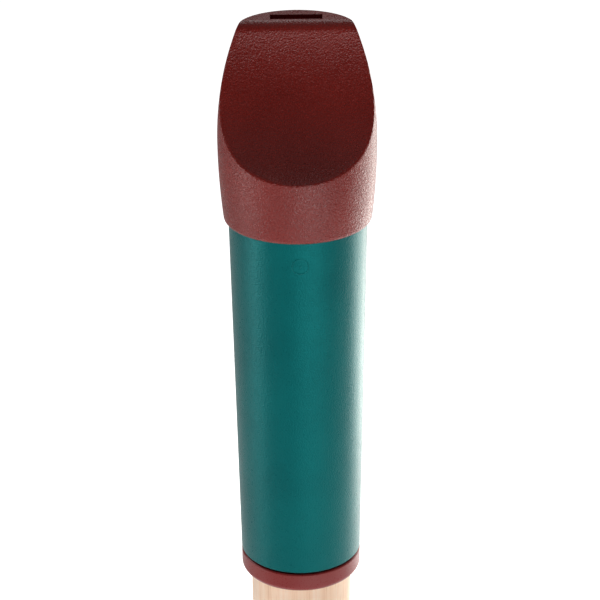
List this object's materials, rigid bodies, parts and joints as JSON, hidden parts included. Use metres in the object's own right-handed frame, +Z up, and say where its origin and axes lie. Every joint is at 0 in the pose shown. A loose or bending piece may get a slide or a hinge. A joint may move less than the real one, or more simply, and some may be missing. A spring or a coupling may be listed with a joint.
{
  "type": "pentatonic recorder",
  "caption": "Pentatonic recorder: coloured plastic head with a scooped beak mouthpiece, windway and labium, on a turned wooden body with finger holes and a thumb hole.",
  "frame": {"origin": "middle of the foot's end face, on which the recorder stands", "axes": "+Z up the bore to the tip of the mouthpiece, +Y out of the window and the finger holes, -Y on the player's side with the lip scoop and the thumb hole"},
  "size_m": [0.0316, 0.0316, 0.3042],
  "materials": {
    "pearwood": "fine straight grain, oiled",
    "cork": "natural cork, greased",
    "red_plastic": "satin, finely grained",
    "green_plastic": "satin, finely grained"
  },
  "bodies": {
    "lower_body": {"body": "pearwood", "tenon_cork": "cork"},
    "socket": {"head_ring": "red_plastic"},
    "head": {"head_sleeve": "green_plastic", "head_core": "green_plastic", "block": "red_plastic"},
    "cap": {"mouthpiece": "red_plastic"}
  },
  "joints": [
    {"name": "tuning_slide", "type": "slide", "parent": "lower_body", "child": "socket", "axis": [0, 0, 1], "range_m": [0, 0.03]},
    {"name": "head_twist", "type": "hinge", "parent": "socket", "child": "head", "pos_m": [0, 0, 0.1863], "axis": [0, 0, 1], "continuous": true},
    {"name": "mouthpiece_pull", "type": "slide", "parent": "head", "child": "cap", "axis": [0, 0, 1], "range_m": [0, 0.034]}
  ]
}
